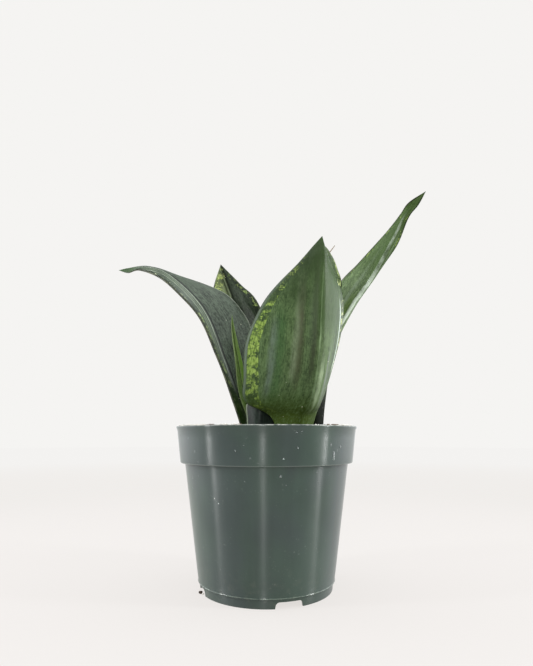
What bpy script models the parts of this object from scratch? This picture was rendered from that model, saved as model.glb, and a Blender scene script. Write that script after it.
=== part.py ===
"""A young snake plant in a round, tapered nursery pot of about four inches.

The frame stands on the ground: the origin is on the pot's axis at its foot, +Z is up,
and -Y is the side that the broad front leaf faces. Blender 4.5, metres.
"""

import math

import bmesh
import bpy
from mathutils import Vector

MM = 0.001

# The pot, moulded in one piece: a plain tapered body under a wider collar.
POT_HEIGHT = 97.0 * MM
RIM_RADIUS = 54.0 * MM
LIP_HEIGHT = 2.0 * MM
LIP_FLARE = 0.45 * MM
COLLAR_BOTTOM_Z = 75.5 * MM
COLLAR_BOTTOM_RADIUS = 51.6 * MM
BODY_TOP_RADIUS = 48.9 * MM
BODY_BOTTOM_RADIUS = 41.1 * MM
FOOT_RADIUS = 39.9 * MM
FOOT_STEP_Z = 5.6 * MM
WALL = 1.2 * MM
FLOOR_UNDERSIDE_Z = 5.2 * MM
POT_STEPS = 80

# Four drain notches in the foot ring, each beside a slot through the raised floor.
NOTCH_COUNT = 4
NOTCH_FIRST_ANGLE = 18.0
NOTCH_WIDTH = 15.8 * MM
NOTCH_HEIGHT = 3.6 * MM
NOTCH_CORNER = 0.9 * MM
SLOT_CENTRE_RADIUS = 31.5 * MM
SLOT_LENGTH = 12.0 * MM
SLOT_WIDTH = 8.0 * MM

# The potting mix fills the pot to a little under the rim.
MIX_TOP_Z = 85.0 * MM
MIX_EDGE_DROP = 0.8 * MM

# Clearance between two pieces that touch in life.
GAP = 0.3 * MM

# Leaves. Each station is (left margin, midrib, right margin), from the base to the tip,
# seen from -Y, as (x, y, z) in millimetres.
LEAF_ALONG = 22
LEAF_ACROSS = 8
MARGIN_THINNING = 0.45
TIP_THINNING = 0.35

LEAVES = {
    "leaf_front": {
        "thickness": 2.2 * MM,
        "midrib_roundness": 0.35,
        "colour": (0.055, 0.115, 0.035),
        "stations": (
            ((9, -11, 82), (16, -17, 82), (23, -9, 82)),
            ((3, -14, 102), (19, -21, 101), (28.5, -10, 103)),
            ((-12, -16, 111), (23, -26, 109), (31, -11, 110)),
            ((-13, -20, 123), (26, -31, 122), (36, -13, 124)),
            ((-11, -24, 145), (28, -35, 142), (41.7, -17, 146)),
            ((-1, -27, 166), (29, -36, 164), (43, -21, 168)),
            ((18, -30, 186), (30.5, -34, 187), (35.0, -27, 187)),
            ((24.9, -31, 194), (30.6, -33, 194), (31.6, -31, 194.5)),
            ((30.3, -31, 200), (30.3, -31, 200), (30.3, -31, 200)),
        ),
    },
    "leaf_left": {
        "thickness": 2.2 * MM,
        "midrib_roundness": 0.3,
        "colour": (0.07, 0.10, 0.065),
        "stations": (
            ((-11, -4, 82), (-7, 1, 82), (-4, 7, 82)),
            ((-20, -8, 113), (-17, -1, 113), (-5, 12, 119)),
            ((-31, -11, 142), (-28, 0, 144), (-9, 18, 153)),
            ((-39, -12, 160), (-36, 2, 164), (-15, 22, 171)),
            ((-51, -11, 174), (-47, 4, 179), (-29, 24, 186)),
            ((-63, -7, 185), (-63, 4, 192), (-61, 17, 196)),
            ((-77, -1, 192), (-77, 6, 196), (-76, 13, 199)),
            ((-84.3, 0, 190.6), (-86.4, 7, 194.8), (-87.2, 10, 197)),
            ((-92.7, 8, 195), (-92.7, 8, 195), (-92.7, 8, 195)),
        ),
    },
    "leaf_back": {
        "thickness": 2.0 * MM,
        "midrib_roundness": 0.3,
        "colour": (0.08, 0.13, 0.06),
        "stations": (
            ((-9, 10, 82), (-2, 15, 82), (6, 11, 82)),
            ((-22, 15, 118), (-7, 25, 118), (7, 16, 118)),
            ((-33, 20, 152), (-14, 31, 150), (5, 20, 150)),
            ((-35.5, 24, 181), (-22, 33, 182), (-6, 22, 179)),
            ((-35, 29, 193), (-26.5, 35, 195), (-17.5, 29, 193)),
            ((-31.4, 36, 209), (-31.4, 36, 209), (-31.4, 36, 209)),
        ),
    },
    "leaf_right": {
        "thickness": 2.2 * MM,
        "midrib_roundness": 0.3,
        "colour": (0.09, 0.14, 0.08),
        "stations": (
            ((20, 8, 82), (28, -1, 82), (34, 6, 82)),
            ((18, 12, 114), (29, -4, 112), (36, 4, 113)),
            ((25, 14, 156), (36, -5, 142), (42, 6, 145)),
            ((45.7, 13, 187), (50, -6, 168), (54, 5, 171)),
            ((57.5, 8, 199), (62.6, -8, 186), (67, -2, 190)),
            ((72, 1, 214), (72, -11, 203), (77, -8, 204)),
            ((79, -8, 222), (79.5, -12, 218), (83, -12, 218.5)),
            ((83, -12, 227.5), (85, -13, 226), (88.3, -13, 225.5)),
            ((92.7, -13.4, 233.5), (92.7, -13.4, 233.5), (92.7, -13.4, 233.5)),
        ),
    },
    "leaf_inner": {
        "thickness": 2.0 * MM,
        "midrib_roundness": 0.3,
        "colour": (0.08, 0.12, 0.06),
        "stations": (
            ((9, 1, 82), (14, -4, 82), (18, 1, 82)),
            ((7, 2, 112), (15, -9, 112), (22, 0, 112)),
            ((9, 4, 150), (21, -12, 150), (32, -4, 150)),
            ((16, 2, 178), (31, -14, 178), (44.4, -3, 178)),
            ((24, -4, 191), (35, -14, 192), (41.7, -7.5, 191)),
            ((30.5, -12, 197.5), (34.5, -15.5, 198.5), (37.4, -12, 197.5)),
            ((34, -15, 200.8), (34, -15, 200.8), (34, -15, 200.8)),
        ),
    },
    "leaf_spear": {
        "thickness": 1.4 * MM,
        "midrib_roundness": 0.5,
        "colour": (0.12, 0.22, 0.04),
        "stations": (
            ((-2, -3, 82), (2, 1, 82), (6, -3, 82)),
            ((-15.5, -3, 113), (-12, 0, 113), (-9, -3, 113)),
            ((-19, -4, 137), (-17, -2.5, 137), (-14.8, -4, 137)),
            ((-21, -5, 155), (-20, -4, 155), (-19, -5, 155)),
            ((-20.7, -5, 164), (-20.7, -5, 164), (-20.7, -5, 164)),
        ),
    },
    "basal_sheath": {
        "thickness": 1.2 * MM,
        "midrib_roundness": 0.6,
        "colour": (0.03, 0.05, 0.04),
        "stations": (
            ((-11, -8, 82), (-4, -12.5, 82), (5, -7, 82)),
            ((-11.5, -8, 100), (-4, -12.5, 100), (5, -7, 100)),
            ((-11.4, -8, 111), (-3, -12, 111), (4, -8, 111)),
            ((-2, -11, 121), (-2, -11, 121), (-2, -11, 121)),
        ),
    },
}


def clear_scene():
    for obj in list(bpy.data.objects):
        bpy.data.objects.remove(obj)


def new_collection(name):
    collection = bpy.data.collections.new(name)
    bpy.context.scene.collection.children.link(collection)
    return collection


def new_material(name, colour, roughness):
    material = bpy.data.materials.new(name)
    material.use_nodes = True
    shader = material.node_tree.nodes["Principled BSDF"]
    shader.inputs["Base Color"].default_value = (*colour, 1.0)
    shader.inputs["Roughness"].default_value = roughness
    shader.inputs["Metallic"].default_value = 0.0
    return material


def new_object(name, bm, collection):
    mesh = bpy.data.meshes.new(name)
    bm.to_mesh(mesh)
    bm.free()
    obj = bpy.data.objects.new(name, mesh)
    collection.objects.link(obj)
    return obj


def mark_cutter(obj):
    obj.hide_render = True
    obj.display_type = "WIRE"


def cut(target, cutter):
    modifier = target.modifiers.new(cutter.name, "BOOLEAN")
    modifier.operation = "DIFFERENCE"
    modifier.solver = "EXACT"
    modifier.object = cutter


def turned(name, profile, collection):
    """A body of revolution: the profile runs from top to bottom down its outer side."""
    bm = bmesh.new()
    points = [bm.verts.new((radius, 0.0, z)) for radius, z in profile]
    for start, end in zip(points, points[1:]):
        bm.edges.new((start, end))
    if profile[0][0] > 0.0:
        bm.edges.new((points[-1], points[0]))
    obj = new_object(name, bm, collection)
    screw = obj.modifiers.new("turn", "SCREW")
    screw.steps = POT_STEPS
    screw.render_steps = POT_STEPS
    screw.use_merge_vertices = True
    screw.merge_threshold = 0.00001
    screw.use_smooth_shade = True
    return obj


def wall_radius(z):
    """The outer radius of the pot's tapered body at this height."""
    slope = (BODY_TOP_RADIUS - BODY_BOTTOM_RADIUS) / (COLLAR_BOTTOM_Z - FOOT_STEP_Z)
    return BODY_BOTTOM_RADIUS + slope * (z - FOOT_STEP_Z)


def collar_radius(z):
    """The outer radius of the pot's collar at this height, without the lip's flare."""
    straight_top = RIM_RADIUS - LIP_FLARE
    slope = (straight_top - COLLAR_BOTTOM_RADIUS) / (POT_HEIGHT - COLLAR_BOTTOM_Z)
    return COLLAR_BOTTOM_RADIUS + slope * (z - COLLAR_BOTTOM_Z)


def inner_radius(z):
    """The radius of the pot's inside at this height, above its floor."""
    if z > COLLAR_BOTTOM_Z + WALL:
        return collar_radius(z) - WALL
    return wall_radius(z) - WALL


def arc(centre, radius, start, end, steps):
    """Points of an arc in the profile's plane, its angles in degrees."""
    points = []
    for step in range(steps + 1):
        angle = math.radians(start + (end - start) * step / steps)
        points.append((centre[0] + radius * math.cos(angle), centre[1] + radius * math.sin(angle)))
    return points


def make_pot(collection, cutters):
    """One moulding: collar, body, raised floor and a thin foot ring with drain notches."""
    lip_z = POT_HEIGHT - LIP_HEIGHT
    lip_radius = WALL / 2
    lip_centre = (RIM_RADIUS - lip_radius, POT_HEIGHT - lip_radius)
    ledge_z = COLLAR_BOTTOM_Z + WALL
    floor_top_z = FLOOR_UNDERSIDE_Z + WALL
    profile = arc(lip_centre, lip_radius, 90, 0, 4)
    profile += [(collar_radius(lip_z), lip_z)]
    profile += [(COLLAR_BOTTOM_RADIUS, COLLAR_BOTTOM_Z + 0.6 * MM)]
    profile += [(COLLAR_BOTTOM_RADIUS - 0.5 * MM, COLLAR_BOTTOM_Z)]
    profile += [(BODY_TOP_RADIUS, COLLAR_BOTTOM_Z)]
    profile += [(BODY_BOTTOM_RADIUS, FOOT_STEP_Z)]
    profile += [(FOOT_RADIUS + 0.3 * MM, FOOT_STEP_Z - 0.8 * MM)]
    profile += [(FOOT_RADIUS, 0.0)]
    profile += [(FOOT_RADIUS - WALL, 0.0)]
    profile += [(FOOT_RADIUS - WALL, FLOOR_UNDERSIDE_Z)]
    profile += [(0.0, FLOOR_UNDERSIDE_Z)]
    profile += [(0.0, floor_top_z)]
    profile += [(inner_radius(floor_top_z) - 1.2 * MM, floor_top_z)]
    profile += [(inner_radius(floor_top_z + 1.2 * MM), floor_top_z + 1.2 * MM)]
    profile += [(wall_radius(ledge_z) - WALL, ledge_z)]
    profile += [(collar_radius(ledge_z) - WALL, ledge_z)]
    profile += [(collar_radius(lip_z) - WALL, lip_z)]
    profile += arc(lip_centre, lip_radius, 180, 135, 1)
    pot = turned("pot", profile, collection)
    pot.data.materials.append(new_material("green_plastic", (0.075, 0.12, 0.095), 0.35))
    for index in range(NOTCH_COUNT):
        angle = math.radians(NOTCH_FIRST_ANGLE + index * 360 / NOTCH_COUNT)
        cut(pot, notch_cutter(index, angle, cutters))
        cut(pot, slot_cutter(index, angle, cutters))
    return pot


def outward(angle):
    """The direction that lies this far round from -Y towards +X."""
    return Vector((math.sin(angle), -math.cos(angle), 0.0))


def notch_cutter(index, angle, cutters):
    bm = bmesh.new()
    bmesh.ops.create_cube(bm, size=1.0)
    height = 2 * NOTCH_HEIGHT
    bmesh.ops.scale(bm, vec=(NOTCH_WIDTH, 8.0 * MM, height), verts=bm.verts)
    upper = [
        edge
        for edge in bm.edges
        if all(v.co.z > 0 for v in edge.verts) and edge.verts[0].co.x == edge.verts[1].co.x
    ]
    bmesh.ops.bevel(bm, geom=upper, offset=NOTCH_CORNER, segments=3, affect="EDGES", profile=0.5)
    cutter = new_object(f"cut_notch_{index + 1}", bm, cutters)
    cutter.location = outward(angle) * FOOT_RADIUS
    cutter.rotation_euler.z = angle
    mark_cutter(cutter)
    return cutter


def slot_cutter(index, angle, cutters):
    bm = bmesh.new()
    bmesh.ops.create_cube(bm, size=1.0)
    bmesh.ops.scale(bm, vec=(SLOT_LENGTH, SLOT_WIDTH, 6 * WALL), verts=bm.verts)
    upright = [edge for edge in bm.edges if edge.verts[0].co.xy == edge.verts[1].co.xy]
    bmesh.ops.bevel(bm, geom=upright, offset=2 * MM, segments=3, affect="EDGES", profile=0.5)
    cutter = new_object(f"cut_slot_{index + 1}", bm, cutters)
    cutter.location = outward(angle) * SLOT_CENTRE_RADIUS
    cutter.location.z = FLOOR_UNDERSIDE_Z + WALL / 2
    cutter.rotation_euler.z = angle
    mark_cutter(cutter)
    return cutter


def make_mix(collection):
    """The potting mix, as one body that follows the inside of the pot."""
    ledge_z = COLLAR_BOTTOM_Z + WALL + GAP
    floor_z = FLOOR_UNDERSIDE_Z + WALL + GAP
    edge_z = MIX_TOP_Z - MIX_EDGE_DROP
    profile = [
        (0.0, MIX_TOP_Z),
        (inner_radius(edge_z) * 0.7, MIX_TOP_Z),
        (inner_radius(edge_z) - GAP, edge_z),
        (inner_radius(ledge_z) - GAP, ledge_z),
        (wall_radius(ledge_z) - WALL - GAP, ledge_z),
        (inner_radius(floor_z + 1.5 * MM) - GAP, floor_z + 1.5 * MM),
        (inner_radius(floor_z) - 1.9 * MM, floor_z),
        (0.0, floor_z),
    ]
    mix = turned("potting_mix", profile, collection)
    mix.data.materials.append(new_material("bark_mix", (0.03, 0.02, 0.015), 0.9))
    return mix


def along_rail(points, t):
    """A smooth curve through the points: t runs from 0 at the first to 1 at the last."""
    last = len(points) - 1
    place = t * last
    index = min(max(int(place), 0), last - 1)
    f = place - index
    here = Vector(points[index])
    after = Vector(points[index + 1])
    before = Vector(points[index - 1]) if index > 0 else 2 * here - after
    beyond = Vector(points[index + 2]) if index + 2 <= last else 2 * after - here
    slope_in = (after - before) / 2
    slope_out = (beyond - here) / 2
    return (
        here * (2 * f**3 - 3 * f**2 + 1)
        + slope_in * (f**3 - 2 * f**2 + f)
        + after * (3 * f**2 - 2 * f**3)
        + slope_out * (f**3 - f**2)
    )


def leaf_point(leaf, across, t):
    """A point of the leaf's mid surface: across runs from -1 to 1, t from base to tip."""
    left, rib, right = (
        along_rail([station[side] for station in leaf["stations"]], t) for side in range(3)
    )
    roundness = leaf["midrib_roundness"]
    fold = math.sqrt(across**2 + roundness**2) - roundness
    fold /= math.sqrt(1 + roundness**2) - roundness
    return (rib + (right - left) / 2 * across + ((left + right) / 2 - rib) * fold) * MM


def leaf_surface(leaf, reach, start, end, rows):
    """A grid laid over the leaf, from start to end along it and out to reach across it."""
    bm = bmesh.new()
    bmesh.ops.create_grid(bm, x_segments=LEAF_ACROSS, y_segments=rows, size=1.0)
    weights = []
    for vert in bm.verts:
        across = vert.co.x
        t = start + (end - start) * (vert.co.y + 1) / 2
        weights.append((1 - across**4 * (1 - MARGIN_THINNING)) * (1 - t**3 * (1 - TIP_THINNING)))
        vert.co = leaf_point(leaf, across * reach, t)
    return bm, weights


def make_leaf(name, leaf, collection):
    bm, weights = leaf_surface(leaf, 1.0, 0.0, 1.0, LEAF_ALONG)
    obj = new_object(name, bm, collection)
    group = obj.vertex_groups.new(name="thickness")
    for index, weight in enumerate(weights):
        group.add([index], weight, "REPLACE")
    weld = obj.modifiers.new("close_tip", "WELD")
    weld.merge_threshold = 0.00001
    solidify = obj.modifiers.new("thickness", "SOLIDIFY")
    solidify.thickness = leaf["thickness"]
    solidify.offset = 0.0
    solidify.vertex_group = "thickness"
    obj.data.shade_smooth()
    obj.data.materials.append(new_material(name, leaf["colour"], 0.4))
    return obj


def pocket_cutter(name, leaf, cutters):
    """The space that the leaf's base takes in the potting mix, with clearance all round."""
    bm, _ = leaf_surface(leaf, 1.08, -0.02, 0.12, 6)
    cutter = new_object(f"cut_{name}", bm, cutters)
    solidify = cutter.modifiers.new("thickness", "SOLIDIFY")
    solidify.thickness = leaf["thickness"] + 2 * GAP
    solidify.offset = 0.0
    mark_cutter(cutter)
    return cutter


def main():
    clear_scene()
    plant = new_collection("potted_snake_plant")
    cutters = new_collection("cutters")
    make_pot(plant, cutters)
    mix = make_mix(plant)
    for name, leaf in LEAVES.items():
        make_leaf(name, leaf, plant)
        cut(mix, pocket_cutter(name, leaf, cutters))


main()
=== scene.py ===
import math
import random

import bmesh
import bpy
import numpy as np
from mathutils import Matrix, Vector, noise


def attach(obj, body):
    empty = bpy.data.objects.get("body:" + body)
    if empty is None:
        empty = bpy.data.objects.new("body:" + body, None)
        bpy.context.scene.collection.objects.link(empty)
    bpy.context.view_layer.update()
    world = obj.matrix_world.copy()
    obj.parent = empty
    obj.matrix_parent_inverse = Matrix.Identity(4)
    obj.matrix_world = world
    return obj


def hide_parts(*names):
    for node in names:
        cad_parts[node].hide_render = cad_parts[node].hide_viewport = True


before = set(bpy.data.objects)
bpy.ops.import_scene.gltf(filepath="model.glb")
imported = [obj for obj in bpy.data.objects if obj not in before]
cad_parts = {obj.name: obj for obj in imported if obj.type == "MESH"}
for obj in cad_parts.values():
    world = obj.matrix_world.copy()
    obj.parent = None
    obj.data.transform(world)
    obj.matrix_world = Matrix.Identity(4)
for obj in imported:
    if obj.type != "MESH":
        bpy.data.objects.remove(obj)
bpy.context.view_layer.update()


# Camera. A level view from the front, at about the height of the pot's rim, close enough
# that the rim and the foot both curve away. The frame is shifted up to take in the leaves.
CAMERA_DISTANCE = 0.287
CAMERA_HEIGHT = 0.0908
LENS = 25.45
UPWARD_SHIFT = 0.1556
SENSOR_WIDTH = 36.0
NEAR_CLIP = 0.01

camera_data = bpy.data.cameras.new("camera")
camera_data.sensor_width = SENSOR_WIDTH
camera_data.lens = LENS
camera_data.shift_y = UPWARD_SHIFT
camera_data.clip_start = NEAR_CLIP
camera = bpy.data.objects.new("camera", camera_data)
camera.location = (0.0, -CAMERA_DISTANCE, CAMERA_HEIGHT)
camera.rotation_euler = (math.radians(90), 0.0, 0.0)
bpy.context.scene.collection.objects.link(camera)
bpy.context.scene.camera = camera
bpy.context.scene.view_settings.view_transform = "Standard"


# Pot. A thin-walled, semi-gloss moulding of dull blue-green polypropylene: a tapered body
# under a wider collar with a small rolled lip, a raised floor and a foot ring that is
# notched four times for drainage, with a slot through the floor beside each notch.
MM = 0.001
POT_HEIGHT = 97.0 * MM
RIM_RADIUS = 54.0 * MM
LIP_HEIGHT = 2.0 * MM
LIP_FLARE = 0.45 * MM
LIP_SHOULDER = 0.7 * MM
LIP_UNDERCUT = 0.4 * MM
LIP_ARC_STEPS = 10
COLLAR_BOTTOM_Z = 75.5 * MM
COLLAR_BOTTOM_RADIUS = 51.6 * MM
COLLAR_FILLET = 0.5 * MM
BODY_TOP_RADIUS = 48.9 * MM
BODY_BOTTOM_RADIUS = 41.1 * MM
FOOT_RADIUS = 39.9 * MM
FOOT_STEP_Z = 5.6 * MM
FOOT_STEP_RIDGE = 0.4 * MM
FOOT_EDGE = 0.3 * MM
WALL = 1.2 * MM
FLOOR_UNDERSIDE_Z = 5.2 * MM
FLOOR_CORNER = 1.2 * MM
UNDERSIDE_CORNER = 0.5 * MM
POT_STEPS = 192
SEAM_GAP = 0.002 * MM
SHARP_POT_EDGE = 40
NOTCH_COUNT = 4
NOTCH_FIRST_ANGLE = 18.0
NOTCH_WIDTH = 17.0 * MM
NOTCH_DEPTH = 8.0 * MM
NOTCH_TAPER = 0.82
NOTCH_HEIGHT = 3.6 * MM
NOTCH_CORNER = 1.5 * MM
CORNER_SEGMENTS = 4
SLOT_CENTRE_RADIUS = 31.5 * MM
SLOT_LENGTH = 12.0 * MM
SLOT_WIDTH = 8.0 * MM
SLOT_CORNER = 2 * MM
SAME_PLACE = 0.001 * MM


def wall_radius(z):
    slope = (BODY_TOP_RADIUS - BODY_BOTTOM_RADIUS) / (COLLAR_BOTTOM_Z - FOOT_STEP_Z)
    return BODY_BOTTOM_RADIUS + slope * (z - FOOT_STEP_Z)


def collar_radius(z):
    top_radius = RIM_RADIUS - LIP_FLARE
    slope = (top_radius - COLLAR_BOTTOM_RADIUS) / (POT_HEIGHT - COLLAR_BOTTOM_Z)
    return COLLAR_BOTTOM_RADIUS + slope * (z - COLLAR_BOTTOM_Z)


def arc(centre, radius, start, end, steps):
    """Points of an arc in the profile's plane, its angles in degrees."""
    turns = [math.radians(start + (end - start) * step / steps) for step in range(steps + 1)]
    return [(centre[0] + radius * math.cos(a), centre[1] + radius * math.sin(a)) for a in turns]


def spun(profile, steps):
    """A closed body of revolution about the Z axis, from a profile of radius and height."""
    bm = bmesh.new()
    points = [bm.verts.new((radius, 0.0, z)) for radius, z in profile]
    edges = [bm.edges.new(pair) for pair in zip(points, points[1:])]
    geometry = points + edges
    bmesh.ops.spin(
        bm, geom=geometry, axis=(0, 0, 1), cent=(0, 0, 0),
        angle=math.tau, steps=steps, use_merge=True,
    )
    bmesh.ops.remove_doubles(bm, verts=bm.verts, dist=SEAM_GAP)
    bmesh.ops.recalc_face_normals(bm, faces=bm.faces)
    return bm


def outward(angle):
    """The direction that lies this far round from the front, anticlockwise from above."""
    return Vector((math.sin(angle), -math.cos(angle), 0.0))


def bevelled_box(size, picked, offset, centre, angle, top_scale=1.0):
    """A box with the picked edges rounded, narrowed upwards, turned about Z and put in place."""
    bm = bmesh.new()
    bmesh.ops.create_cube(bm, size=1.0)
    bmesh.ops.scale(bm, vec=size, verts=bm.verts)
    edges = [edge for edge in bm.edges if picked(edge)]
    bmesh.ops.bevel(
        bm, geom=edges, offset=offset, segments=CORNER_SEGMENTS,
        affect="EDGES", profile=0.5, material=-1,
    )
    for vert in bm.verts:
        vert.co.x *= 1 + (top_scale - 1) * max(0.0, vert.co.z * 2 / size[2])
    turn = Matrix.Rotation(angle, 3, "Z")
    bmesh.ops.rotate(bm, cent=(0, 0, 0), matrix=turn, verts=bm.verts)
    bmesh.ops.translate(bm, vec=centre, verts=bm.verts)
    mesh = bpy.data.meshes.new("cutter")
    bm.to_mesh(mesh)
    bm.free()
    cutter = bpy.data.objects.new("cutter", mesh)
    bpy.context.scene.collection.objects.link(cutter)
    return cutter


def across_the_top(edge):
    """Whether the edge is one that crosses the top of the cutter from front to back."""
    first, second = edge.verts
    return min(first.co.z, second.co.z) > 0 and abs(first.co.x - second.co.x) < SAME_PLACE


def upright(edge):
    """Whether the edge runs straight up."""
    first, second = edge.verts
    return (first.co.xy - second.co.xy).length < SAME_PLACE


class Wire:
    """One socket of a shader. Arithmetic on it makes Math nodes, and node makes any other."""

    def __init__(self, tree, socket=None):
        self.tree = tree
        self.socket = socket

    def node(self, kind, settings=None, inputs=None, output=0):
        made = self.tree.nodes.new(kind)
        for name, value in (settings or {}).items():
            setattr(made, name, value)
        for name, value in (inputs or {}).items():
            if isinstance(value, Wire):
                self.tree.links.new(value.socket, made.inputs[name])
            else:
                made.inputs[name].default_value = value
        return Wire(self.tree, made.outputs[output])

    def math(self, operation, other, swapped=False):
        first, second = (other, self) if swapped else (self, other)
        return self.node("ShaderNodeMath", {"operation": operation}, {0: first, 1: second})

    def __add__(self, other):
        return self.math("ADD", other)

    def __radd__(self, other):
        return self.math("ADD", other, True)

    def __sub__(self, other):
        return self.math("SUBTRACT", other)

    def __rsub__(self, other):
        return self.math("SUBTRACT", other, True)

    def __mul__(self, other):
        return self.math("MULTIPLY", other)

    def __rmul__(self, other):
        return self.math("MULTIPLY", other, True)

    def __abs__(self):
        return self.math("ABSOLUTE", 0.0)

    def rise(self, low, high):
        """0 below low, 1 above high and smooth between them; falls if low is above high."""
        inputs = {"Value": self, "From Min": low, "From Max": high}
        return self.node("ShaderNodeMapRange", {"interpolation_type": "SMOOTHSTEP"}, inputs)

    def mix(self, first, second):
        """The first colour where this is 0 and the second where it is 1."""
        inputs = {0: self, 6: first, 7: second}
        return self.node("ShaderNodeMix", {"data_type": "RGBA"}, inputs, 2)

    def xyz(self):
        """The three parts of a vector, or of a colour."""
        made = self.node("ShaderNodeSeparateXYZ", None, {0: self}).socket.node
        return [Wire(self.tree, socket) for socket in made.outputs]

    def vector(self, x, y, z):
        return self.node("ShaderNodeCombineXYZ", None, {0: x, 1: y, 2: z})

    def noise(self, scale, detail=3.0, roughness=0.5):
        """Smooth random values from 0 to 1 at this point."""
        inputs = {"Vector": self, "Scale": scale, "Detail": detail, "Roughness": roughness}
        return self.node("ShaderNodeTexNoise", None, inputs)

    def cells(self, scale, output="Distance", feature="F1"):
        """Irregular cells: the distance to a cell's middle or edge, or its random colour."""
        inputs = {"Vector": self, "Scale": scale}
        return self.node("ShaderNodeTexVoronoi", {"feature": feature}, inputs, output)


def srgb(red, green, blue):
    """A linear colour, from the 0 to 255 values of a paint chart."""
    parts = [c / 255 for c in (red, green, blue)]
    linear = [c / 12.92 if c <= 0.04045 else ((c + 0.055) / 1.055) ** 2.4 for c in parts]
    return (*linear, 1.0)


def surface(name, constants):
    """A material with its fixed values set, and the wire that its nodes start from."""
    material = bpy.data.materials.new(name)
    material.use_nodes = True
    shader = material.node_tree.nodes["Principled BSDF"]
    for socket, value in constants.items():
        shader.inputs[socket].default_value = value
    return material, Wire(material.node_tree), shader


def feed(shader, socket, wire):
    """Links the wire to a socket of the shader."""
    wire.tree.links.new(wire.socket, shader.inputs[socket])


def bump(shader, height, distance, strength):
    """Fine relief: height runs from 0 to 1, and distance is how far that stands out."""
    inputs = {"Height": height, "Distance": distance, "Strength": strength}
    feed(shader, "Normal", height.node("ShaderNodeBump", None, inputs))


def add_piece(name, bm, materials):
    """An object from this bmesh, riding on the part and shaded smooth."""
    mesh = bpy.data.meshes.new(name)
    bm.to_mesh(mesh)
    bm.free()
    mesh.shade_smooth()
    for material in materials:
        mesh.materials.append(material)
    piece = bpy.data.objects.new(name, mesh)
    bpy.context.scene.collection.objects.link(piece)
    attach(piece, "root")
    return piece


lip_z = POT_HEIGHT - LIP_HEIGHT
lip_centre = (RIM_RADIUS - WALL / 2, POT_HEIGHT - WALL / 2)
lip_arc = arc(lip_centre, WALL / 2, 180, 0, LIP_ARC_STEPS)
ledge_z = COLLAR_BOTTOM_Z + WALL
floor_top_z = FLOOR_UNDERSIDE_Z + WALL
foot_middle = FOOT_RADIUS - WALL / 2
foot_inside = FOOT_RADIUS - WALL

# The profile runs over the lip, down the outside, under the foot ring and the floor, and
# back up the inside.
profile = list(lip_arc)
profile += [(RIM_RADIUS - 0.1 * MM, lip_z + LIP_SHOULDER)]
profile += [(collar_radius(lip_z), lip_z - LIP_UNDERCUT)]
profile += [(collar_radius(z * MM), z * MM) for z in (90.0, 84.0, 79.0)]
collar_corner = (COLLAR_BOTTOM_RADIUS - COLLAR_FILLET, COLLAR_BOTTOM_Z + COLLAR_FILLET)
profile += arc(collar_corner, COLLAR_FILLET, 0, -90, 4)
neck_corner = (BODY_TOP_RADIUS + COLLAR_FILLET, COLLAR_BOTTOM_Z - COLLAR_FILLET)
profile += arc(neck_corner, COLLAR_FILLET, 90, 180, 4)
profile += [(wall_radius(z * MM), z * MM) for z in (70.0, 55.0, 40.0, 25.0, 12.0)]
profile += [(BODY_BOTTOM_RADIUS, FOOT_STEP_Z + 0.7 * MM)]
profile += arc((BODY_BOTTOM_RADIUS - 0.2 * MM, FOOT_STEP_Z), FOOT_STEP_RIDGE, 50, -80, 6)
profile += [(FOOT_RADIUS + FOOT_EDGE, FOOT_STEP_Z - 0.7 * MM)]
profile += arc((foot_middle, FOOT_EDGE), WALL / 2, 0, -30, 1)
profile += [(FOOT_RADIUS - FOOT_EDGE, 0.0), (foot_inside + FOOT_EDGE, 0.0)]
profile += [(foot_inside, FOOT_EDGE), (foot_inside, FLOOR_UNDERSIDE_Z - UNDERSIDE_CORNER)]
profile += [(foot_inside - UNDERSIDE_CORNER, FLOOR_UNDERSIDE_Z), (0.0, FLOOR_UNDERSIDE_Z)]
profile += [(0.0, floor_top_z)]
profile += [(wall_radius(floor_top_z) - WALL - FLOOR_CORNER, floor_top_z)]
profile += [(wall_radius(floor_top_z + FLOOR_CORNER) - WALL, floor_top_z + FLOOR_CORNER)]
profile += [(wall_radius(z * MM) - WALL, z * MM) for z in (40.0, 70.0)]
profile += [(wall_radius(ledge_z) - WALL, ledge_z), (collar_radius(ledge_z) - WALL, ledge_z)]
profile += [(collar_radius(z * MM) - WALL, z * MM) for z in (84.0, 90.0)]
profile += [(collar_radius(lip_z) - WALL, lip_z - LIP_UNDERCUT)]
profile += [(RIM_RADIUS - WALL, lip_z + LIP_SHOULDER), lip_arc[0]]

pot_plastic, wire, shader = surface(
    "pot_plastic", {"IOR": 1.5, "Anisotropic": 0.97, "Anisotropic Rotation": 0.25}
)
place = wire.node("ShaderNodeTexCoord", output="Object")
px, py, pz = place.xyz()
cloud = place.noise(28.0, 4.0)
flow = wire.vector(px * 160.0, py * 160.0, pz * 18.0).noise(1.0, 2.0)
hue = wire.vector(px * 34.0, py * 34.0, pz * 20.0 + 3.0).noise(1.0, 2.0).rise(0.35, 0.65)
tone = (cloud * 0.7 + flow * 0.3).rise(0.3, 0.7)
slate_green = tone.mix(srgb(50, 61, 59), srgb(57, 69, 66))
moss_green = tone.mix(srgb(48, 64, 55), srgb(58, 75, 66))
dust = place.noise(900.0, 2.0).rise(0.66, 0.76) * place.noise(60.0, 2.0).rise(0.45, 0.7)
splash = place.noise(260.0, 3.0).rise(0.5, 0.75) * pz.rise(0.03, 0.004)
# The top of the lip is painted pale: partly a painted highlight where the lip catches the light
# from above, partly a matt, pale mineral scuff.
lip_top = pz.rise(POT_HEIGHT - 0.75 * MM, POT_HEIGHT - 0.2 * MM)
lip_highlight_and_scuff = lip_top * place.noise(300.0, 3.0).rise(0.3, 0.62)
# A pale line painted along the foot step is a painted highlight on the ledge's edge.
foot_ridge = abs(pz - (FOOT_STEP_Z + 0.25 * MM)).rise(0.3 * MM, 0.1 * MM)
foot_step_highlight = foot_ridge * place.noise(400.0, 3.0).rise(0.3, 0.6)
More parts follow.
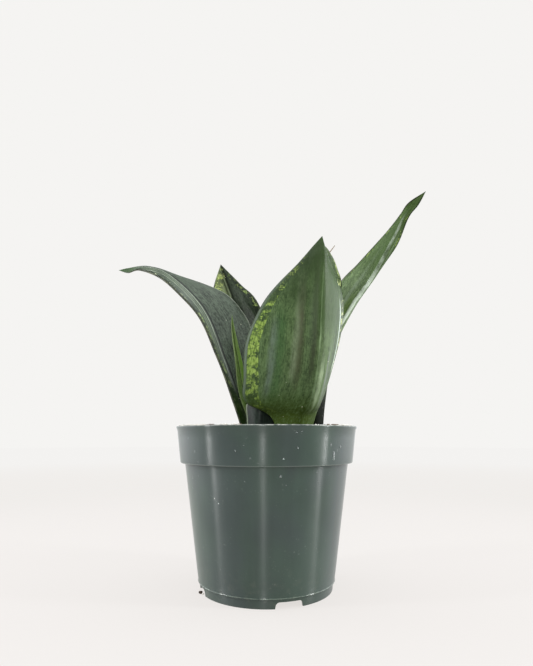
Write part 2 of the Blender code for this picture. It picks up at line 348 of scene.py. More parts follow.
# A pale line painted at the collar's lower edge is a painted highlight on its rounded edge.
collar_edge_highlight = abs(pz - (COLLAR_BOTTOM_Z + 0.25 * MM)).rise(0.4 * MM, 0.1 * MM)
green = hue.mix(slate_green, moss_green)
green = (dust * 0.3).mix(green, srgb(150, 156, 146))
green = (splash * 0.14).mix(green, srgb(110, 108, 98))
green = (lip_highlight_and_scuff * 0.65).mix(green, srgb(196, 198, 190))
green = (foot_step_highlight * 0.4).mix(green, srgb(140, 152, 138))
green = (collar_edge_highlight * 0.22).mix(green, srgb(150, 160, 150))
feed(shader, "Base Color", green)
feed(shader, "Roughness", 0.25 + cloud * 0.06 + flow * 0.03 + dust * 0.2 + lip_highlight_and_scuff * 0.3)
bump(shader, flow * 0.6 + place.noise(1500.0, 2.0) * 0.3, 0.00004, 0.3)

pot = add_piece("pot_shell", spun(profile, POT_STEPS), [pot_plastic])
cutters = []
for index in range(NOTCH_COUNT):
    angle = math.radians(NOTCH_FIRST_ANGLE + index * 360 / NOTCH_COUNT)
    size = (NOTCH_WIDTH, NOTCH_DEPTH, 2 * NOTCH_HEIGHT)
    centre = outward(angle) * FOOT_RADIUS
    cutters.append(
        bevelled_box(size, across_the_top, NOTCH_CORNER, centre, angle, NOTCH_TAPER)
    )
    size = (SLOT_LENGTH, SLOT_WIDTH, 6 * WALL)
    centre = outward(angle) * SLOT_CENTRE_RADIUS
    centre.z = FLOOR_UNDERSIDE_Z + WALL / 2
    cutters.append(bevelled_box(size, upright, SLOT_CORNER, centre, angle))
for cutter in cutters:
    modifier = pot.modifiers.new("drain", "BOOLEAN")
    modifier.operation = "DIFFERENCE"
    modifier.solver = "EXACT"
    modifier.object = cutter
graph = bpy.context.evaluated_depsgraph_get()
cut_mesh = bpy.data.meshes.new_from_object(pot.evaluated_get(graph))
pot.modifiers.clear()
pot.data = cut_mesh
for cutter in cutters:
    bpy.data.objects.remove(cutter)
pot.data.shade_smooth()
pot.data.set_sharp_from_angle(angle=math.radians(SHARP_POT_EDGE))
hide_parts("pot")


# Potting mix. Moist, dark bark crumbs with white perlite, filled to about 12 mm under the
# rim. A sculpted bed holds the level, and loose chips and perlite grains lie on it.
MIX_TOP_Z = 84.4 * MM
MIX_RADIUS = 50.6 * MM
MIX_STEPS = 120
MIX_RINGS = 36
MIX_GAP = 0.4 * MM
MIX_SHOULDER_Z = 76.4 * MM
MIX_BOTTOM_Z = 6.8 * MM
MIX_CORNER_Z = 8.5 * MM
BARK_COUNT = 620
BARK_SEED = 11
PERLITE_COUNT = 150
PERLITE_SEED = 23
SHARP_LUMP_EDGE = 38

mix_profile = [(MIX_RADIUS * ring / MIX_RINGS, MIX_TOP_Z) for ring in range(MIX_RINGS + 1)]
mix_profile += [(MIX_RADIUS - 0.6 * MM, MIX_SHOULDER_Z + 0.8 * MM)]
mix_profile += [(wall_radius(z) - WALL - MIX_GAP, z) for z in (MIX_SHOULDER_Z, MIX_CORNER_Z)]
mix_profile += [(wall_radius(MIX_BOTTOM_Z) - WALL - 2.0 * MM, MIX_BOTTOM_Z)]
mix_profile += [(0.0, MIX_BOTTOM_Z)]
bed = spun(mix_profile, MIX_STEPS)
for vert in bed.verts:
    if vert.co.z > MIX_TOP_Z - 0.1 * MM:
        rough = noise.noise(vert.co * 90.0) * 1.2 + noise.noise(vert.co * 330.0) * 0.9
        vert.co.z += (rough + noise.noise(vert.co * 900.0) * 0.5) * MM

bark_mix, wire, shader = surface("bark_mix", {"IOR": 1.4})
place = wire.node("ShaderNodeTexCoord", output="Object")
crumb = place.cells(420.0, "Color").xyz()[0]
fibre = place.noise(1400.0, 4.0, 0.65)
peat = (crumb * 0.65 + fibre * 0.35).mix(srgb(34, 27, 22), srgb(82, 64, 48))
grain = place.cells(650.0).rise(0.28, 0.16) * place.noise(120.0, 2.0).rise(0.62, 0.68)
feed(shader, "Base Color", grain.mix(peat, srgb(214, 210, 200)))
feed(shader, "Roughness", 0.75 + fibre * 0.25)
bump(shader, fibre * 0.5 + crumb * 0.5, 0.0006, 0.8)
mix_bed = add_piece("potting_mix_bed", bed, [bark_mix])
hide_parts("potting_mix")


def lump_of(sides, size, ruggedness, shift):
    """A small rough lump: angular, from a cube, or rounder, from an icosphere."""
    bm = bmesh.new()
    if sides == "angular":
        bmesh.ops.create_cube(bm, size=0.8)
        bmesh.ops.subdivide_edges(bm, edges=bm.edges[:], cuts=1)
    else:
        bmesh.ops.create_icosphere(bm, subdivisions=2, radius=0.5)
    for vert in bm.verts:
        vert.co *= 1 + ruggedness * noise.noise(vert.co * 2.2 + shift)
    bmesh.ops.scale(bm, vec=size, verts=bm.verts)
    return bm


def put_in(bm, lump, turn, centre):
    """Adds the lump to a larger mesh, turned and put in place."""
    bmesh.ops.rotate(lump, cent=(0, 0, 0), matrix=turn, verts=lump.verts)
    bmesh.ops.translate(lump, vec=centre, verts=lump.verts)
    mesh = bpy.data.meshes.new("lump")
    lump.to_mesh(mesh)
    lump.free()
    bm.from_mesh(mesh)
    bpy.data.meshes.remove(mesh)


def scattered(name, count, seed, smallest, largest, flatness, sides, material, reach, height):
    """Many small rough lumps in one mesh, lying at random on the mix."""
    draw = random.Random(seed)
    bm = bmesh.new()
    for _ in range(count):
        size = smallest + (largest - smallest) * draw.random() ** 2
        size = (size * draw.uniform(0.8, 1.5), size * draw.uniform(0.6, 1.0), size * flatness)
        shift = Vector((draw.uniform(-9, 9), draw.uniform(-9, 9), draw.uniform(-9, 9)))
        tilt = Vector((draw.gauss(0, 0.35), draw.gauss(0, 0.35), 1)).normalized()
        spin = Matrix.Rotation(draw.uniform(0, math.tau), 3, "Z")
        turn = tilt.to_track_quat("Z", "Y").to_matrix() @ spin
        centre = outward(draw.uniform(0, math.tau)) * reach * math.sqrt(draw.random())
        centre.z = height + draw.uniform(-0.4, 0.9) * MM
        put_in(bm, lump_of(sides, size, 0.5, shift), turn, centre)
    piece = add_piece(name, bm, [material])
    piece.data.set_sharp_from_angle(angle=math.radians(SHARP_LUMP_EDGE))


bark_chip, wire, shader = surface("bark_chip", {"IOR": 1.4})
place = wire.node("ShaderNodeTexCoord", output="Object")
px, py, pz = place.xyz()
layer = wire.vector(px * 500.0, py * 500.0, pz * 2600.0).noise(1.0, 4.0)
patch = place.noise(160.0, 2.0)
brown = layer.mix(srgb(46, 35, 27), srgb(116, 90, 66))
brown = (patch.rise(0.35, 0.65) * 0.8).mix(brown, srgb(40, 33, 28))
feed(shader, "Base Color", brown)
feed(shader, "Roughness", 0.62 + layer * 0.35)
bump(shader, layer, 0.0005, 0.9)
scattered(
    "bark_chips", BARK_COUNT, BARK_SEED, smallest=1.6 * MM, largest=6.0 * MM, flatness=0.42,
    sides="angular", material=bark_chip, reach=48.0 * MM, height=MIX_TOP_Z + 0.4 * MM,
)

perlite_grain, wire, shader = surface("perlite_grain", {"IOR": 1.4})
place = wire.node("ShaderNodeTexCoord", output="Object")
pores = place.cells(1600.0).rise(0.1, 0.45)
feed(shader, "Base Color", pores.mix(srgb(168, 162, 150), srgb(236, 233, 226)))
feed(shader, "Roughness", 0.8 + pores * 0.15)
bump(shader, pores, 0.0003, 0.8)
scattered(
    "perlite", PERLITE_COUNT, PERLITE_SEED, smallest=0.8 * MM, largest=3.4 * MM, flatness=0.8,
    sides="round", material=perlite_grain, reach=48.5 * MM, height=MIX_TOP_Z + 0.8 * MM,
)


# Leaves. Each is one stiff, succulent blade, thick along its midrib and thin at its edges,
# folded into a channel and twisted as it grew. The stations are its left margin, midrib
# and right margin from base to tip, as (x, y, z) in millimetres, seen from the front.
LEAF_ALONG = 150
LEAF_ACROSS = 44
MARGIN_THINNING = 0.45
TIP_THINNING = 0.35
FULL_THICKNESS_REACH = 7.5
CREASE_SHARE = 0.22
CREASE_ROUNDNESS = 0.04
SAME_POINT = 0.005 * MM


def along_rail(points, t):
    """A smooth curve through the points: t runs from 0 at the first to 1 at the last."""
    last = len(points) - 1
    index = min(max(int(t * last), 0), last - 1)
    f = t * last - index
    here, after = points[index], points[index + 1]
    before = points[index - 1] if index > 0 else 2 * here - after
    beyond = points[index + 2] if index + 2 <= last else 2 * after - here
    ease = 3 * f**2 - 2 * f**3
    slope_in, slope_out = (after - before) / 2, (beyond - here) / 2
    curve = here * (1 - ease) + after * ease
    return curve + slope_in * (f**3 - 2 * f**2 + f) + slope_out * (f**3 - f**2)


def folded(across, roundness):
    """A fold's height, 0 at the midrib and 1 at the margins, rounded at the midrib."""
    height = np.sqrt(across**2 + roundness**2) - roundness
    return height / (math.sqrt(1 + roundness**2) - roundness)


def leaf_grid(stations, roundness, waviness, seed):
    """A fine grid over the leaf. The attribute blade keeps each point's place on it, in mm:
    distance across from the midrib, along from the base, and in from the nearest margin."""
    rails = [[np.array(station[side], float) for station in stations] for side in range(3)]
    left, rib, right = (
        np.array([along_rail(rail, step / LEAF_ALONG) for step in range(LEAF_ALONG + 1)])
        for rail in rails
    )
    across = np.linspace(-1, 1, LEAF_ACROSS + 1)
    crease = folded(across, CREASE_ROUNDNESS)
    fold = (1 - CREASE_SHARE) * folded(across, roundness) + CREASE_SHARE * crease
    lateral, depth = (right - left) / 2, (left + right) / 2 - rib
    points = rib[:, None] + lateral[:, None] * across[None, :, None]
    points = points + depth[:, None] * fold[None, :, None]
    steps = np.linalg.norm(np.diff(points, axis=1), axis=2)
    reach = np.concatenate([np.zeros((len(points), 1)), np.cumsum(steps, axis=1)], axis=1)
    middle = LEAF_ACROSS // 2
    signed = reach - reach[:, middle : middle + 1]
    length = np.concatenate([[0.0], np.cumsum(np.linalg.norm(np.diff(rib, axis=0), axis=1))])
    bm = bmesh.new()
    blade = bm.verts.layers.float_vector.new("blade")
    deform = bm.verts.layers.deform.verify()
    bmesh.ops.create_grid(bm, x_segments=LEAF_ACROSS, y_segments=LEAF_ALONG, size=1.0)
    for vert in bm.verts:
        column = round((vert.co.x + 1) / 2 * LEAF_ACROSS)
        row = round((vert.co.y + 1) / 2 * LEAF_ALONG)
        u, t = across[column], row / LEAF_ALONG
        a, l = signed[row, column], length[row]
        margin = abs(signed[row, 0 if u < 0 else -1]) - abs(a)
        vert[blade] = (a, l, margin)
        slender = min(1.0, min(-signed[row, 0], signed[row, -1]) / FULL_THICKNESS_REACH)
        thinning = (1 - u**4 * (1 - MARGIN_THINNING)) * (1 - t**3 * (1 - TIP_THINNING))
        vert[deform][0] = thinning * slender
        ripple = noise.noise(Vector((l / 22, 3 * u, seed))) * abs(u) ** 3
        ripple += 0.25 * noise.noise(Vector((l / 40, a / 11, seed + 5)))
        out = Vector(depth[row]).normalized()
        ripple *= waviness * min(1, 6 * (1 - t), 8 * t)
        vert.co = (Vector(points[row, column]) + out * ripple) * MM
    bmesh.ops.remove_doubles(bm, verts=bm.verts, dist=SAME_POINT)
    return bm


def add_leaf(
    name, node, stations, thickness, roundness, materials, waviness=0.8, seed=1.0
):
    """The leaf as a solid blade: materials are its near face, its far face and its edge."""
    piece = add_piece(name, leaf_grid(stations, roundness, waviness, seed), materials)
    piece.vertex_groups.new(name="thickness")
    solidify = piece.modifiers.new("thickness", "SOLIDIFY")
    solidify.thickness = thickness
    solidify.offset = 0.0
    solidify.vertex_group = "thickness"
    solidify.material_offset = 1
    solidify.material_offset_rim = 2
    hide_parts(node)


def leaf_skin(
    name, dark, light, contrast, base, stripes=(), lines=(), mottles=(), seed=0.0, gloss=0.32
):
    """Waxy leaf skin with fine veins along it. All places are in millimetres on the blade.
    contrast: how far the skin's fine pattern goes from dark to light.
    stripes: (offset, drift, half width, start, end, colour, strength) from the midrib.
    lines: (side, inset, half width, start, end, colour, strength) along a margin.
    mottles: (side, first width, last width, inset, start, end, cover, pale, bright).
    base: the colour near the mix, how far up it reaches and how flecked it is."""
    material, wire, shader = surface(name, {"IOR": 1.45, "Specular IOR Level": gloss})
    blade = wire.node("ShaderNodeAttribute", {"attribute_name": "blade"}, output="Vector")
    a, l, margin = blade.xyz()
    veins = wire.vector(a * 1.5, l * 0.03, seed).noise(1.0, 2.0, 0.6)
    ribs = wire.vector(a * 0.42, l * 0.014, seed + 4).noise(1.0, 2.0)
    clouds = wire.vector(a * 0.16, l * 0.09, seed + 8).noise(1.0, 3.0, 0.6)
    grain = wire.vector(a * 1.5, l * 0.4, seed + 2).noise(1.0, 2.0, 0.6)
    flecks = wire.vector(a * 0.8, l * 0.6, seed + 1).noise(1.0, 3.0, 0.7)
    smear = wire.vector(a * 0.55, l * 0.16, seed + 11).noise(1.0, 3.0, 0.65)
    lightness = veins * 0.18 + ribs * 0.16 + clouds * 0.28
    lightness = lightness + grain * 0.34 + flecks * 0.34 + smear * 0.3
    colour = (lightness.rise(0.61, 1.02) * contrast).mix(dark, light)
    broken = smear.rise(0.3, 0.68) * 0.6 + ribs * 0.3 + veins * 0.5 + flecks * 0.2
    # Stripes are the skin's own bands and, on some leaves, painted sheen, highlights and shade
    # along the blade.
    for offset, drift, half_width, start, end, tone, strength in stripes:
        wander = (clouds - 0.5) * min(half_width, 3.0)
        beside = abs(a + wander - (l * drift + offset)).rise(half_width, half_width * 0.1)
        along = l.rise(start - 8, start + 8) * l.rise(end + 8, end - 8)
        colour = (beside * along * broken * strength).mix(colour, tone)
    hatch = wire.vector(a * 0.1, l * 0.21, seed + 7).noise(1.0, 3.0, 0.55)
    teeth = wire.vector(a * 0.9, l * 0.5, seed + 5).noise(1.0, 3.0, 0.65)
    speckle = wire.vector(a * 0.45, l * 0.45, seed + 6).noise(1.0, 3.0, 0.65)
    streaked = wire.vector(a * 1.2, l * 0.3, seed + 3).noise(1.0, 3.0)
    warped = wire.vector(a * 0.13 + speckle * 0.5, l * 0.26 + teeth * 0.5, seed)
    cracks = warped.cells(1.0, feature="DISTANCE_TO_EDGE").rise(0.02, 0.09)
    ragged = l + (speckle - 0.5) * 16.0
    for side, first_width, last_width, inset, start, end, cover, pale, bright in mottles:
        drift = (last_width - first_width) / (end - start)
        width = l * drift + (first_width - start * drift) + (teeth - 0.5) * 1.6
        edge = inset + (speckle - 0.5) * 1.2
        zone = (width - margin).rise(-0.15, 0.15) * (margin - edge).rise(-0.2, 0.2)
        zone = zone * (a * side).rise(-0.2, 0.2)
        zone = zone * ragged.rise(start - 1, start + 1) * ragged.rise(end + 1, end - 1)
        patch = hatch * 0.5 + teeth * 0.25 + speckle * 0.25 + (cover - 0.5) * 0.26
        colour = (zone * 0.5).mix(colour, dark)
        spot = zone * patch.rise(0.475, 0.51) * (0.35 + cracks * 0.65)
        colour = (spot * 0.95).mix(colour, streaked.rise(0.38, 0.62).mix(bright, pale))
    for side, inset, half_width, start, end, tone, strength in lines:
        beside = abs(margin - inset).rise(half_width, half_width * 0.2)
        beside = beside * (a * side).rise(-0.2, 0.2)
        along = l.rise(start - 5, start + 5) * l.rise(end + 5, end - 5)
        colour = (beside * along * strength * (0.45 + speckle * 1.1)).mix(colour, tone)
    # The base colour is the skin's own tint near the mix; on the right leaf it is painted shade.
    base_colour, base_reach, flecking = base
    shade = l.rise(base_reach, base_reach * 0.45) * (0.72 + clouds * 0.6)
    lit = (flecks * 0.9 + grain * 0.5).rise(0.62, 0.95) * flecking
    colour = shade.mix(colour, lit.mix(base_colour, light))
    cell = wire.vector(a * 0.4, l * 0.4, seed + 9)
    speck = cell.cells(1.0).rise(0.16, 0.08) * cell.cells(1.0, "Color").xyz()[0].rise(0.965, 0.975)
    colour = (speck * 0.75).mix(colour, srgb(206, 208, 180))
    feed(shader, "Base Color", colour)
    matt = l.rise(base_reach, base_reach * 0.3) * 0.3 + l.rise(104.0, 124.0) * 0.25
    feed(shader, "Roughness", 0.34 + veins * 0.1 + clouds * 0.12 - grain * 0.04 + matt)
    bump(shader, veins * 0.5 + ribs * 1.2 + grain * 0.15, 0.00022, 0.5)
    return material


def margin_skin(name, colour, dry):
    """The leaf's thin, hard edge, pale and dry in places."""
    material, wire, shader = surface(name, {"IOR": 1.45})
    blade = wire.node("ShaderNodeAttribute", {"attribute_name": "blade"}, output="Vector")
    wear = wire.vector(0.0, blade.xyz()[1] * 0.16, 2.0).noise(1.0, 3.0).rise(0.4, 0.65)
    feed(shader, "Base Color", wear.mix(colour, dry))
    feed(shader, "Roughness", 0.45 + wear * 0.2)
    return material


pale_edge = margin_skin("leaf_edge_pale", srgb(112, 124, 92), srgb(176, 178, 154))
dark_edge = margin_skin("leaf_edge_dark", srgb(40, 48, 34), srgb(92, 96, 74))
lime = (srgb(92, 118, 44), srgb(138, 162, 78))
straw = (srgb(150, 162, 96), srgb(196, 204, 152))

front_outer = leaf_skin(
    "leaf_front_outer",
    dark=srgb(30, 48, 16),
    light=srgb(90, 114, 70),
    contrast=0.95,
    gloss=0.25,
    stripes=(
        # Painted sheen: a soft pale streak left of the keel, and a grey-blue one near the mottled
        # band.
        (-14.5, 0.045, 3.6, 46, 100, srgb(112, 124, 96), 0.65),
        (-26.0, 0.02, 3.6, 36, 74, srgb(96, 110, 100), 0.6),
        (-21.0, 0.0, 5.0, 34, 80, srgb(50, 84, 42), 0.55),
        (-9.5, 0.0, 3.0, 40, 96, srgb(52, 54, 30), 0.7),
        (-2.4, 0.0, 2.4, 46, 130, srgb(34, 42, 16), 0.8),
        # Painted sheen: the pale green right of the keel, where the blade turns to the light.
        (7.0, 0.0, 7.0, 30, 84, srgb(104, 126, 84), 0.5),
        (4.0, 0.0, 2.2, 78, 112, srgb(100, 124, 78), 0.4),
        (3.0, 0.0, 2.2, 18, 54, srgb(150, 168, 134), 0.75),
        # Painted highlight: a pale blue-grey line along a fold right of the keel.
        (7.8, 0.0, 1.3, 32, 58, srgb(116, 120, 120), 0.8),
        (0.6, 0.0, 0.9, 20, 76, srgb(120, 142, 104), 0.5),
        (0.35, 0.0, 0.5, 62, 106, srgb(138, 162, 120), 0.9),
        (0.0, 0.0, 40.0, 104, 140, srgb(24, 36, 8), 1.0),
        (-12.0, 0.0, 14.0, 84, 124, srgb(36, 54, 20), 0.8),
        (6.0, 0.0, 16.0, 70, 130, srgb(52, 74, 34), 1.0),
    ),
    lines=(
        (-1, 1.0, 1.2, 26, 100, srgb(66, 80, 64), 0.9),
        (-1, 0.1, 0.3, 26, 112, srgb(30, 38, 20), 0.7),
        (1, 5.6, 0.9, 50, 84, srgb(190, 204, 192), 1.2),
        (1, 1.2, 1.1, 0, 50, srgb(196, 206, 178), 1.2),
    ),
    mottles=(
        (-1, 10.2, 9.4, 1.9, 24, 46, 0.46, *lime),
        (-1, 9.2, 8.0, 2.0, 46, 74, 0.62, *lime),
        (-1, 8.0, 6.4, 2.8, 74, 96, 0.44, *lime),
        (-1, 5.6, 3.4, 0.8, 90, 116, 0.36, srgb(74, 90, 38), srgb(116, 134, 68)),
        (1, 5.2, 3.4, 0.5, 50, 88, 0.44, *straw),
        (1, 2.4, 2.2, 0.3, 90, 108, 0.2, *straw),
    ),
    base=(srgb(56, 74, 12), 40, 0.7),
)
front_inner = leaf_skin(
    "leaf_front_inner",
    dark=srgb(40, 58, 30),
    light=srgb(92, 112, 82),
    contrast=0.7,
    # Painted shade: a dark line down the crease of the channel.
    stripes=((0.0, 0.0, 0.8, 20, 118, srgb(36, 48, 24), 0.7),),
    mottles=[(side, 8.0, 4.0, 1.2, 28, 110, 0.55, *lime) for side in (-1, 1)],
    base=(srgb(88, 104, 38), 34, 0.5),
    seed=20.0,
)
FRONT = (
    ((9, -11, 82), (16, -17, 82), (23, -9, 82)),
    ((3, -14, 102), (19, -21, 101), (28.5, -10, 103)),
    ((-12, -16, 111), (23, -26, 109), (31, -11, 110)),
    ((-13, -20, 123), (26, -31, 122), (36, -13, 124)),
    ((-11, -24, 145), (28, -35, 142), (41.7, -17, 146)),
    ((-1, -27, 166), (29, -36, 164), (43, -21, 168)),
    ((18, -30, 186), (30.5, -34, 187), (35.0, -27, 187)),
    ((24.9, -31, 194), (30.6, -33, 194), (31.6, -31, 194.5)),
    ((30.3, -31, 200), (30.3, -31, 200), (30.3, -31, 200)),
)
add_leaf(
    "front_leaf", "leaf_front", FRONT, 2.2 * MM, 0.35, [front_outer, front_inner, pale_edge],
)

left_inner = leaf_skin(
    "leaf_left_inner",
    dark=srgb(20, 30, 18),
    light=srgb(96, 110, 92),
    contrast=1.0,
    gloss=0.2,
    stripes=(
        (12.0, 0.0, 20.0, 110, 160, srgb(60, 72, 56), 0.6),
        # The pale band between the fold and the lower margin is partly the skin's own grey-green
        # and partly painted light.
        (-6.5, 0.0, 4.2, 62, 146, srgb(84, 98, 74), 0.6),
        (-1.9, 0.0, 0.6, 50, 150, srgb(164, 174, 154), 0.9),
        (-4.6, 0.0, 0.5, 66, 140, srgb(150, 160, 142), 0.45),
        (-7.6, 0.0, 0.6, 60, 146, srgb(180, 186, 172), 0.6),
        # Painted shade: the near-black line down the crease of the channel.
        (0.3, 0.0, 1.1, 20, 152, srgb(12, 18, 8), 2.2),
        (0.0, 0.0, 30.0, 147, 170, srgb(36, 66, 16), 1.5),
    ),
    lines=(
        (-1, 0.2, 0.7, 26, 150, srgb(34, 42, 24), 1.2),
        (1, 0.3, 0.6, 30, 112, srgb(168, 176, 160), 0.9),
    ),
    mottles=(
        (-1, 6.4, 3.4, 0.7, 26, 92, 0.46, srgb(100, 122, 60), srgb(164, 180, 128)),
        (-1, 2.6, 2.0, 0.5, 92, 146, 0.2, srgb(112, 126, 88), srgb(164, 172, 140)),
    ),
    base=(srgb(34, 56, 6), 50, 0.25),
    seed=40.0,
)
grey_outer = leaf_skin(
    "leaf_grey_outer",
    dark=srgb(42, 60, 30),
    light=srgb(98, 118, 82),
    contrast=0.8,
    stripes=((0.0, 0.0, 0.8, 30, 150, srgb(140, 156, 120), 0.6),),
    mottles=[(side, 7.0, 4.0, 1.0, 34, 120, 0.5, *lime) for side in (-1, 1)],
    base=(srgb(52, 66, 20), 34, 0.5),
    seed=60.0,
)
LEFT = (
    ((-11, -4, 82), (-7, 1, 82), (-4, 7, 82)),
    ((-20, -8, 113), (-17, -1, 113), (-5, 12, 119)),
    ((-31, -11, 142), (-28, 0, 144), (-9, 18, 153)),
    ((-39, -12, 160), (-36, 2, 164), (-15, 22, 171)),
    ((-51, -11, 174), (-47, 4, 179), (-29, 24, 186)),
    ((-63, -7, 185), (-63, 4, 192), (-61, 17, 196)),
    ((-77, -1, 192), (-77, 6, 196), (-76, 13, 199)),
    ((-84.3, 0, 190.6), (-86.4, 7, 194.8), (-87.2, 10, 197)),
    ((-92.7, 8, 195), (-92.7, 8, 195), (-92.7, 8, 195)),
)
add_leaf(
    "left_leaf", "leaf_left", LEFT, 2.2 * MM, 0.3, [left_inner, grey_outer, dark_edge],
    seed=2.0,
)

back_inner = leaf_skin(
    "leaf_back_inner",
    dark=srgb(18, 27, 16),
    light=srgb(72, 86, 66),
    contrast=0.8,
    gloss=0.2,
    stripes=(
        # Painted light: the pale stripe over the left half stands for light falling on it; the
        # dark skin of the right half is partly painted shade.
        (-9.0, 0.0, 10.5, 70, 136, srgb(124, 138, 96), 1.4),
        (-1.6, 0.0, 0.8, 60, 130, srgb(140, 154, 120), 1.0),
        # Painted shade: a dark line down the crease of the channel.
        (0.3, 0.0, 1.0, 20, 130, srgb(22, 30, 14), 1.4),
    ),
    lines=(
        (-1, 0.3, 0.5, 30, 120, srgb(40, 48, 24), 1.0),
        (1, 0.3, 0.5, 30, 126, srgb(48, 58, 30), 1.0),
    ),
    mottles=(
        (-1, 12.0, 6.0, 0.8, 50, 128, 0.54, srgb(128, 146, 70), srgb(186, 200, 124)),
        (1, 6.0, 4.4, 0.7, 40, 126, 0.42, srgb(96, 120, 54), srgb(150, 168, 100)),
    ),
    base=(srgb(40, 54, 16), 38, 0.5),
    seed=80.0,
)
BACK = (
    ((-9, 10, 82), (-2, 15, 82), (6, 11, 82)),
    ((-22, 15, 118), (-7, 25, 118), (7, 16, 118)),
    ((-33, 20, 152), (-14, 31, 150), (5, 20, 150)),
    ((-35.5, 24, 181), (-22, 33, 182), (-6, 22, 179)),
    ((-35, 29, 193), (-26.5, 35, 195), (-17.5, 29, 193)),
    ((-31.4, 36, 209), (-31.4, 36, 209), (-31.4, 36, 209)),
)
add_leaf(
    "back_leaf", "leaf_back", BACK, 2.0 * MM, 0.3, [back_inner, grey_outer, dark_edge],
    seed=3.0,
)

right_outer = leaf_skin(
    "leaf_right_outer",
    dark=srgb(42, 62, 24),
    light=srgb(116, 138, 94),
    contrast=0.95,
    gloss=0.09,
    stripes=(
        (-3.0, 0.0, 5.0, 44, 96, srgb(104, 130, 66), 0.7),
        (6.0, 0.0, 4.0, 44, 90, srgb(120, 146, 78), 0.8),
        (-7.0, 0.0, 3.0, 60, 128, srgb(118, 134, 108), 0.6),
        # Painted highlight: a pale line along the keel.
        (0.4, 0.0, 0.8, 56, 150, srgb(190, 204, 186), 1.3),
        (2.4, 0.0, 0.5, 84, 136, srgb(150, 162, 150), 0.8),
        # Painted shade: a dark strip on the folded far half beside the keel.
        (5.6, 0.0, 2.0, 80, 156, srgb(30, 42, 22), 0.9),
        (0.0, 0.0, 30.0, 112, 175, srgb(46, 66, 24), 0.8),
    ),
    lines=(
        (-1, 0.3, 0.8, 60, 166, srgb(36, 40, 22), 1.2),
        (1, 0.3, 0.6, 60, 166, srgb(28, 38, 18), 1.0),
    ),
    mottles=(
        (-1, 3.0, 4.0, 0.9, 100, 150, 0.3, srgb(86, 104, 42), srgb(122, 140, 76)),
        (1, 2.6, 2.6, 0.6, 110, 150, 0.3, srgb(86, 104, 42), srgb(122, 140, 76)),
    ),
    # Painted shade: the base is near-black green where it stands in the shade of the rosette.
    base=(srgb(6, 12, 2), 58, 0.0),
    seed=100.0,
)
RIGHT = (
    ((20, 8, 82), (28, -1, 82), (34, 6, 82)),
    ((18, 12, 114), (29, -4, 112), (36, 4, 113)),
    ((25, 14, 156), (36, -5, 142), (42, 6, 145)),
    ((45.7, 13, 187), (50, -6, 168), (54, 5, 171)),
    ((57.5, 8, 199), (62.6, -8, 186), (67, -2, 190)),
    ((72, 1, 214), (72, -11, 203), (77, -8, 204)),
    ((79, -8, 222), (79.5, -12, 218), (83, -12, 218.5)),
    ((83, -12, 227.5), (85, -13, 226), (88.3, -13, 225.5)),
    ((92.7, -13.4, 233.5), (92.7, -13.4, 233.5), (92.7, -13.4, 233.5)),
)
add_leaf(
    "right_leaf", "leaf_right", RIGHT, 2.2 * MM, 0.3, [right_outer, left_inner, dark_edge],
    seed=4.0,
)

inner_outer = leaf_skin(
    "leaf_inner_outer",
    dark=srgb(34, 54, 18),
    light=srgb(90, 112, 70),
    contrast=0.8,
    stripes=((0.0, 0.0, 0.8, 30, 120, srgb(140, 158, 112), 0.6),),
    lines=((1, 0.3, 0.7, 60, 124, srgb(32, 44, 16), 1.2),),
    mottles=(
        (1, 4.8, 3.0, 0.9, 60, 120, 0.5, srgb(112, 130, 70), srgb(176, 188, 128)),
        (-1, 5.0, 3.0, 1.0, 40, 112, 0.5, *lime),
    ),
    base=(srgb(44, 58, 12), 36, 0.5),
    seed=120.0,
)
INNER = (
    ((9, 1, 82), (14, -4, 82), (18, 1, 82)),
    ((7, 2, 112), (15, -9, 112), (22, 0, 112)),
    ((9, 4, 150), (21, -12, 150), (32, -4, 150)),
    ((16, 2, 178), (31, -14, 178), (44.4, -3, 178)),
    ((24, -4, 191), (35, -14, 192), (41.7, -7.5, 191)),
    ((30.5, -12, 197.5), (34.5, -15.5, 198.5), (37.4, -12, 197.5)),
    ((34, -15, 200.8), (34, -15, 200.8), (34, -15, 200.8)),
)
add_leaf(
    "inner_leaf", "leaf_inner", INNER, 2.0 * MM, 0.3, [inner_outer, front_inner, dark_edge],
    seed=5.0,
)

young_skin = leaf_skin(
    "leaf_young",
    dark=srgb(78, 104, 46),
    light=srgb(136, 164, 96),
    contrast=0.9,
    stripes=(
        (2.2, 0.0, 2.2, 24, 62, srgb(96, 134, 44), 1.1),
        (-0.4, 0.0, 0.5, 30, 84, srgb(28, 42, 12), 0.9),
    ),
    lines=((-1, 0.3, 0.5, 20, 84, srgb(132, 150, 100), 0.9),),
    base=(srgb(78, 104, 28), 24, 0.5),
    seed=140.0,
)
SPEAR = (
    ((-2, -3, 82), (2, 1, 82), (6, -3, 82)),
    ((-15.5, -3, 113), (-12, 0, 113), (-9, -3, 113)),
    ((-19, -4, 137), (-17, -2.5, 137), (-14.8, -4, 137)),
    ((-21, -5, 155), (-20, -4, 155), (-19, -5, 155)),
    ((-20.7, -5, 164), (-20.7, -5, 164), (-20.7, -5, 164)),
)
add_leaf(
    "spear_leaf", "leaf_spear", SPEAR, 1.4 * MM, 0.5, [young_skin, young_skin, young_skin],
    waviness=0.1, seed=6.0,
)

